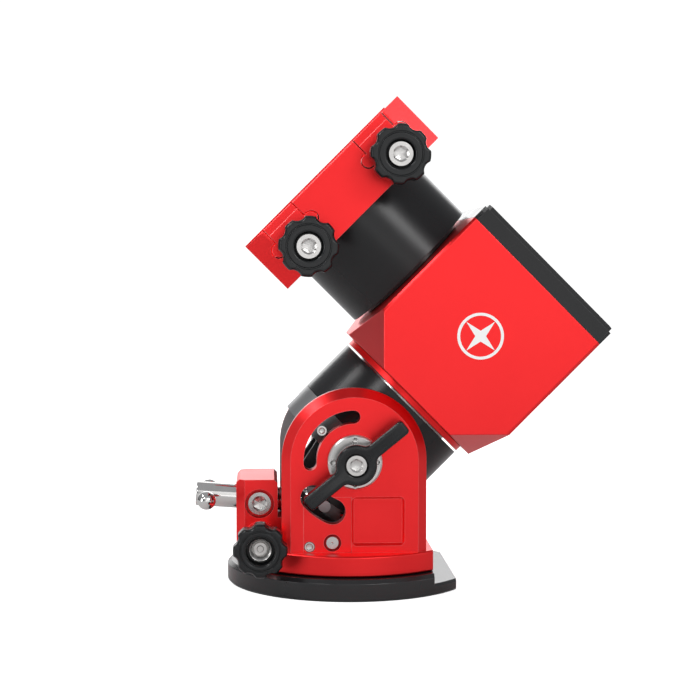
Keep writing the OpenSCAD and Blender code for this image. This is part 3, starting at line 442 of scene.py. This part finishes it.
def revolve(name, profile, segments=96, closed=False, sharp=35):
    """A turned mesh round local z from a list of (radius, height, form)."""
    edit = bmesh.new()
    angles = [2 * math.pi * i / segments for i in range(segments)]
    rings = []
    for r, z, form in profile:
        if r == 0:
            rings.append([edit.verts.new((0, 0, z))] * segments)
            continue
        reach = [form(r, a, z) for a in angles]
        rings.append([edit.verts.new((q * math.cos(a), q * math.sin(a), z))
                      for q, a in zip(reach, angles)])
    skin_rings(edit, rings, closed)
    return link_mesh(name, edit, sharp)


def frame_along(point, out, across=UP):
    """A placement with local z along out and local x as near to across as it can be."""
    z = Vector(out).normalized()
    x = (Vector(across) - z * Vector(across).dot(z)).normalized()
    turn = Matrix((x, z.cross(x), z)).transposed().to_4x4()
    return Matrix.Translation(point) @ turn


def stand_in(obj, node, place, material=None):
    """Puts a piece in the place of a CAD node, on the same body."""
    slot = SLOT_OF[node]
    obj.matrix_world = place
    obj.data.materials.append(material or MATERIALS[slot])
    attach(obj, nodes[node]["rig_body"])
    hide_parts(node)


def solids_of(node):
    """The separate solids of a CAD node, each as a list of points."""
    edit = bmesh.new()
    edit.from_mesh(nodes[node].data)
    bmesh.ops.remove_doubles(edit, verts=edit.verts, dist=0.002 * MM)
    left = set(edit.verts)
    found = []
    while left:
        seed = left.pop()
        group, queue = [seed], [seed]
        while queue:
            for edge in queue.pop().link_edges:
                for other in edge.verts:
                    if other in left:
                        left.remove(other)
                        group.append(other)
                        queue.append(other)
        found.append([v.co.copy() for v in group])
    edit.free()
    return sorted(found, key=lambda points: tuple(round(c, 5) for c in sum(points, Vector())
                                                  / len(points)))


def sideways(middle):
    """Near-side pieces face the near side, far-side ones the far side."""
    return NEAR if middle.y < 0 else FAR


def seats(node, facing=sideways):
    """Where each solid of a node sits: (placement at its outer end, its length, its radius)."""
    found = []
    for points in solids_of(node):
        way = facing(sum(points, Vector()) / len(points))
        turn = frame_along((0, 0, 0), way)
        local = [turn.inverted() @ p for p in points]
        low = Vector([min(p[k] for p in local) for k in range(3)])
        high = Vector([max(p[k] for p in local) for k in range(3)])
        top = turn @ Vector(((low.x + high.x) / 2, (low.y + high.y) / 2, high.z))
        found.append((frame_along(top, way), high.z - low.z, (high.x - low.x) / 2))
    return found


# ---------- screws ----------

LARGE_HEAD = 5.6 * MM       # height of a large cap screw's head


def socket_screw_mesh(name, head_r, head_h, shank_r, length, knurls=36):
    """Socket-head cap screw hanging below z = 0, with a hexagon socket and a plain shank."""
    hex_r = 0.56 * head_r
    ease = 0.14 * head_r
    deep = 0.55 * head_h
    head = [(0, -deep - 0.2 * hex_r, plain, 0), (hex_r, -deep, hexagon, 0),
            (hex_r, -0.14 * head_r, hexagon, 0), (1.2 * hex_r, 0, plain, 0),
            (head_r, 0, plain, ease)]
    side = knurled(knurls, 0.012 * head_r) if knurls else plain
    rim = [(head_r, -0.2 * head_h, side, 0), (head_r, -0.9 * head_h, side, 0),
           (0.96 * head_r, -head_h, plain, 0), (shank_r, -head_h, plain, 0)]
    profile = eased(head) + [(r, z, form) for r, z, form, _ in rim]
    chamfer = 0.25 * shank_r
    profile += [(shank_r, -length + chamfer, plain), (shank_r - chamfer, -length, plain),
                (0, -length, plain)]
    return revolve(name, profile, 144 if knurls else 72)


def set_screw_mesh(name, r, length):
    """Set screw or plug with a hexagon socket, its outer end at z = 0."""
    hex_r, rim = 0.55 * r, 0.12 * r
    profile = [(0, -0.55 * length, plain), (hex_r, -0.5 * length, hexagon),
               (hex_r, -rim, hexagon), (1.15 * hex_r, 0, plain), (r - rim, 0, plain),
               (r, -rim, plain), (r, -length, plain), (0, -length, plain)]
    return revolve(name, profile, 72)


def pin_mesh(name, r, length):
    """Ground pin with a broken edge and a centre mark."""
    edge, mark = 0.13 * r, 0.16 * r
    profile = [(0, -mark, plain), (mark, 0, plain), (r - edge, 0, plain), (r, -edge, plain),
               (r, -length, plain), (0, -length, plain)]
    return revolve(name, profile, 72)


def cup_screw(name, r, length):
    """Screw whose head is a polished cup with a dark hole, and a pin at the hole's bottom."""
    head_h, shank_r = 4.2 * MM, 0.46 * r
    hole_r, pin_r, floor, pin_top = 0.58 * r, 0.3 * r, -3.9 * MM, -3.1 * MM
    cone = -2.0 * MM
    profile = [(0, pin_top, plain), (pin_r - 0.3 * MM, pin_top, plain),
               (pin_r, pin_top - 0.3 * MM, plain), (pin_r, floor, plain),
               (hole_r, floor, plain), (hole_r, cone - 0.2 * MM, plain),
               (hole_r + 0.2 * MM, cone, plain), (r - 0.5 * MM, -0.1 * MM, plain),
               (r - 0.3 * MM, 0, plain), (r, -0.3 * MM, plain), (r, -head_h, plain),
               (shank_r, -head_h, plain), (shank_r, -length, plain), (0, -length, plain)]
    return revolve(name, profile, 96, sharp=25)


def replace_solids(node, make, facing=sideways):
    """Puts a detailed piece in the place of each solid of a node."""
    for i, (place, length, r) in enumerate(seats(node, facing)):
        stand_in(make(f"{node}_piece_{i + 1}", r, length), node, place)


def cap_screw(head_h, shank_share, knurls=36):
    """A maker of cap screws whose shank is shank_share of the head's radius."""
    def make(name, r, length):
        return socket_screw_mesh(name, r, head_h, shank_share * r, length, knurls)
    return make


def block_screw(name, r, length):
    """The block's small set screw, or one of its two large screws."""
    small = 3 * MM
    if r < small:
        return set_screw_mesh(name, r, length)
    return socket_screw_mesh(name, r, LARGE_HEAD, 0.6 * r, length)


def axis_of(joint):
    return Vector(next(j for j in frame["joints"] if j["name"] == joint)["axis"])


def make_screws():
    polar, across = axis_of("right_ascension"), axis_of("declination")
    jaw_side = 30 * MM      # saddle screws beyond this hold the fixed jaw
    for node in ("clamp_screw_a", "clamp_screw_b"):
        replace_solids(node, cap_screw(LARGE_HEAD, shank_share=0.6))
    for node in ("lever_screw_near", "lever_screw_far"):
        replace_solids(node, cap_screw(head_h=4.6 * MM, shank_share=0.7, knurls=0))
    for node in ("azimuth_screw_near", "azimuth_screw_far"):
        replace_solids(node, cup_screw)
    replace_solids("flange_screws", cap_screw(head_h=2.0 * MM, shank_share=0.6, knurls=0))
    replace_solids("guide_screws", cap_screw(head_h=3.0 * MM, shank_share=0.55, knurls=24))
    replace_solids("cover_screws", cap_screw(head_h=1.8 * MM, shank_share=0.55, knurls=0),
                   lambda middle: polar)
    replace_solids("cheek_screws", set_screw_mesh)
    replace_solids("cheek_pins", pin_mesh)
    replace_solids("block_screws", block_screw,
                   lambda middle: AWAY if abs(middle.y) < MM else sideways(middle))
    replace_solids("saddle_screws", cap_screw(head_h=4.6 * MM, shank_share=0.52),
                   lambda middle: FAR if middle.y > jaw_side else across)


make_screws()


# ---------- hand knobs ----------

AZIMUTH_KNOB = dict(thick=12 * MM, neck_r=8.5 * MM, recess_r=8 * MM, recess_d=10 * MM,
                    hole_r=3 * MM, phase=math.radians(22.5))
CLAMP_KNOB = dict(thick=13 * MM, neck_r=9.5 * MM, recess_r=7.75 * MM, recess_d=6 * MM,
                  hole_r=4 * MM, phase=math.radians(18.5))
KNOBS = {"azimuth_knob_near": AZIMUTH_KNOB, "azimuth_knob_far": AZIMUTH_KNOB,
         "clamp_knob_a": CLAMP_KNOB, "clamp_knob_b": CLAMP_KNOB}


def knob_mesh(name, r, neck_l, thick, neck_r, recess_r, recess_d, hole_r, phase):
    """Scalloped knob with its front face at z = 0, a ring groove and a deep recess in it."""
    lobes, bite, groove_d, chamfer = 8, 0.31 * r, 0.5 * MM, 0.9 * MM
    rim = scalloped(r, lobes, bite, phase)
    back = -thick - neck_l
    profile = eased([
        (hole_r, back, plain, 0), (neck_r, back, plain, 0.3 * MM),
        (neck_r, -thick, plain, 0.4 * MM), (r - chamfer, -thick, rim, 0.3 * MM),
        (r, -thick + chamfer, rim, 0.5 * MM), (r, -1.7 * MM, rim, 0.7 * MM),
        (r - 1.2 * MM, 0, rim, 0.5 * MM), (0.755 * r, 0, plain, 0.12 * MM),
        (0.745 * r, -groove_d, plain, 0.12 * MM), (0.71 * r, -groove_d, plain, 0.12 * MM),
        (0.69 * r, 0, plain, 0.2 * MM), (recess_r + chamfer, 0, plain, 0.5 * MM),
        (recess_r, -chamfer, plain, 0.4 * MM), (recess_r, -recess_d, plain, 0.4 * MM),
        (hole_r, -recess_d, plain, 0)])
    return revolve(name, profile, 240, closed=True)


def make_knobs():
    for node, sizes in KNOBS.items():
        low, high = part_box(node)
        r = (high.z - low.z) / 2
        (place, length, _), = seats(node)
        knob = knob_mesh(node + "_piece", r, length - sizes["thick"], **sizes)
        stand_in(knob, node, place)


make_knobs()


# ---------- lock levers ----------

def lever_outline(hub_r, half_l, half_w, fillet, tip_r, inset, steps=10):
    """A bar through a round hub, with filleted inner corners and rounded tips."""
    reach = hub_r + fillet
    foot_x = math.sqrt(reach ** 2 - (half_w + fillet) ** 2)
    turn = math.atan2(half_w + fillet, foot_x)
    quarter = []
    for k in range(steps + 1):      # tip
        a = math.radians(90 * k / steps)
        quarter.append((half_l - tip_r + (tip_r - inset) * math.cos(a),
                        half_w - tip_r + (tip_r - inset) * math.sin(a)))
    for k in range(1, 7):           # straight side
        quarter.append((half_l - tip_r + (foot_x - half_l + tip_r) * k / 7, half_w - inset))
    for k in range(steps + 1):      # inner corner
        a = -math.pi / 2 - (math.pi / 2 - turn) * k / steps
        quarter.append((foot_x + (fillet + inset) * math.cos(a),
                        half_w + fillet + (fillet + inset) * math.sin(a)))
    for k in range(1, steps + 1):   # hub
        a = turn + (math.pi / 2 - turn) * k / steps
        quarter.append(((hub_r - inset) * math.cos(a), (hub_r - inset) * math.sin(a)))
    left = [(-x, y) for x, y in reversed(quarter[:-1])]
    upper = quarter + left
    return upper + [(-x, -y) for x, y in upper]


def lever_mesh(name):
    """Two-armed lever with its front face at z = 0, sized here in millimetres."""
    hub_r, half_l, half_w = 11.4, 34.8, 4.25
    fillet, tip_r = 4.0, 2.2
    back, foot, front = -13.0, -9.0, 0.0
    recess_r, recess_z, hole_r = 6.5, -5.0, 4.05
    round_r = 1.5
    edit = bmesh.new()

    def outline(inset, z):
        return [Vector((x, y, z)) for x, y in
                lever_outline(hub_r, half_l, half_w, fillet, tip_r, inset)]

    directions = [Vector((p.x, p.y, 0)).normalized() for p in outline(0, 0)]

    def circle(r, z):
        return [d * r + UP * z for d in directions]

    rings = [circle(hole_r, recess_z), circle(recess_r, recess_z), circle(recess_r, -0.5),
             circle(recess_r + 0.15, -0.15), circle(recess_r + 0.5, front),
             outline(round_r + 0.6, front)]
    for k in range(7):
        a = math.radians(90 * k / 6)
        rings.append(outline(round_r * (1 - math.sin(a)), front - round_r * (1 - math.cos(a))))
    rings += [outline(0, foot + 0.9), outline(0.25, foot + 0.35), outline(0.9, foot),
              circle(hub_r - 1.2, foot), circle(hub_r - 1.2, back + 0.4),
              circle(hub_r - 1.6, back), circle(hole_r, back)]
    made = [[edit.verts.new(p * MM) for p in ring] for ring in rings]
    skin_rings(edit, made, closed=True)
    return link_mesh(name, edit, 30)


def make_levers():
    lever_angle = math.radians(39)
    for side, out in (("near", NEAR), ("far", FAR)):
        node = "lock_lever_" + side
        low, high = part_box(node)
        centre = (low + high) / 2
        centre.y = low.y if out is NEAR else high.y
        along = Vector((math.cos(lever_angle), 0, math.sin(lever_angle)))
        stand_in(lever_mesh(node + "_piece"), node, frame_along(centre, out, along),
                 material=LEVER_BLACK)


make_levers()


# ---------- altitude screw ----------

def make_rod():
    node = "altitude_rod"
    axis = axis_of("altitude_screw_turn")
    (place, length, r), = seats(node, lambda middle: axis)
    start = -length
    smooth_end = start + 28 * MM
    thread_pitch = 1.75 * MM
    steps = int(-smooth_end / thread_pitch * 6)
    turn = threaded(thread_pitch, 0.5 * MM)
    profile = eased([(0, start + 2 * MM, plain, 0), (3.2 * MM, start + 2 * MM, plain, 0.2 * MM),
                     (3.6 * MM, start, plain, 0.2 * MM), (r, start, plain, 0.7 * MM),
                     (r, smooth_end, plain, 0)])
    top = -1.2 * MM
    profile += [(r, smooth_end + (top - smooth_end) * (k + 1) / steps, turn)
                for k in range(steps)]
    profile += [(r - 1 * MM, 0, plain), (0, 0, plain)]
    stand_in(revolve(node + "_piece", profile, 72), node, place)


def make_tommy_bar():
    node = "tommy_bar"
    ball_r, bar_r, steps = 5.4 * MM, 2.5 * MM, 18
    (place, length, _), = seats(node, lambda middle: FAR)
    first = math.asin(bar_r / ball_r)
    half = [(ball_r * math.sin(a), -ball_r * (1 - math.cos(a)), plain)
            for a in [(math.pi - first) * k / steps for k in range(steps + 1)]]
    half[0] = (0, 0, plain)
    far_half = [(r, -length - z, form) for r, z, form in reversed(half)]
    stand_in(revolve(node + "_piece", half + far_half, 64), node, place)


make_rod()
make_tommy_bar()


# ---------- stage, light and camera ----------

def aim(obj, target):
    obj.rotation_euler = (Vector(target) - obj.location).to_track_quat("-Z", "Y").to_euler()


LIGHTS = (      # name, place, width, height, radiance
    ("key", (0.45, -1.75, 0.62), 1.9, 1.6, 0.78),
    ("low", (0.0, -1.5, 0.13), 1.6, 0.25, 0.55),
    ("upper_right", (0.62, -1.35, 0.80), 0.45, 0.32, 8.0),
    ("upper_left", (-1.05, -0.10, 1.40), 0.4, 0.3, 16.0),
    ("front_left", (-0.80, -1.25, 1.00), 0.35, 0.30, 10.0),
    ("left", (-1.4, -0.75, 0.32), 0.5, 0.7, 4.2),
    ("horizon", (0.3, 1.7, 0.35), 2.8, 0.8, 1.2),
    ("right", (1.5, -0.5, 0.5), 0.5, 1.2, 1.2),
    ("back", (0.2, 1.7, 0.9), 1.6, 1.0, 1.2),
)


def softbox(name, place, target, width, height, radiance):
    """An area light aimed at a point, which the camera itself doesn't see."""
    light = bpy.data.lights.new(name, "AREA")
    light.shape = "RECTANGLE"
    light.size, light.size_y = width, height
    light.energy = radiance * math.pi * width * height
    obj = add_object(name, light)
    obj.location = place
    obj.visible_camera = False
    aim(obj, target)


def make_floor():
    """A round sheet of white paper; it glows a little to the camera, and not to the object."""
    radius = 1.3
    mesh = bpy.data.meshes.new("floor")
    edit = bmesh.new()
    bmesh.ops.create_circle(edit, cap_ends=True, segments=96, radius=radius)
    edit.to_mesh(mesh)
    edit.free()
    floor = add_object("floor", mesh)
    material, tree, shader = principled("floor_paper", 0.0, 0.2)
    paper = noise(tree, object_coords(tree), 0.4, 2.0)
    plug(tree, shader, colour=blend_colour(tree, paper, (0.90, 0.90, 0.90), (0.93, 0.93, 0.93)))
    shader.inputs["Roughness"].default_value = 0.8
    shader.inputs["Emission Color"].default_value = (1, 1, 1, 1)
    shader.inputs["Emission Strength"].default_value = 0.75
    dim = new_node(tree, "BsdfDiffuse", {0: (0.74, 0.74, 0.74, 1)})
    split_by_camera(tree, "Material Output", shader, dim)
    mesh.materials.append(material)
    floor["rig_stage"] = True


def make_world():
    """White behind the object; what lights it is a soft room, darker low down."""
    world = bpy.data.worlds.new("studio")
    bpy.context.scene.world = world
    world.use_nodes = True
    tree = world.node_tree
    seen = tree.nodes["Background"]
    seen.inputs[0].default_value = (1, 1, 1, 1)
    seen.inputs[1].default_value = 1.1
    height = new_node(tree, "SeparateXYZ",
                      {0: new_node(tree, "TexCoord").outputs["Generated"]}).outputs[2]
    rise = new_node(tree, "MapRange", {0: height, 1: -0.4, 2: 0.8, 3: 0.05, 4: 0.42}).outputs[0]
    lit = new_node(tree, "Background", {0: (0.95, 0.97, 1.0, 1), 1: rise})
    split_by_camera(tree, "World Output", seen, lit)


def make_camera():
    place, lens, yaw, pitch = (-0.050, -0.917, 0.187), 79.7, 3.14, -3.2
    camera = bpy.data.cameras.new("camera")
    camera.lens = lens
    camera.sensor_width = 36
    obj = add_object("camera", camera)
    obj.location = place
    obj.rotation_euler = (math.radians(90 + pitch), 0, math.radians(-yaw))
    camera.clip_start = 0.05
    bpy.context.scene.camera = obj


def make_lights():
    low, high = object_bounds()
    for name, place, width, height, radiance in LIGHTS:
        softbox(name, place, (low + high) / 2, width, height, radiance)


make_floor()
make_world()
make_camera()
make_lights()
bpy.context.scene.view_settings.view_transform = "Standard"
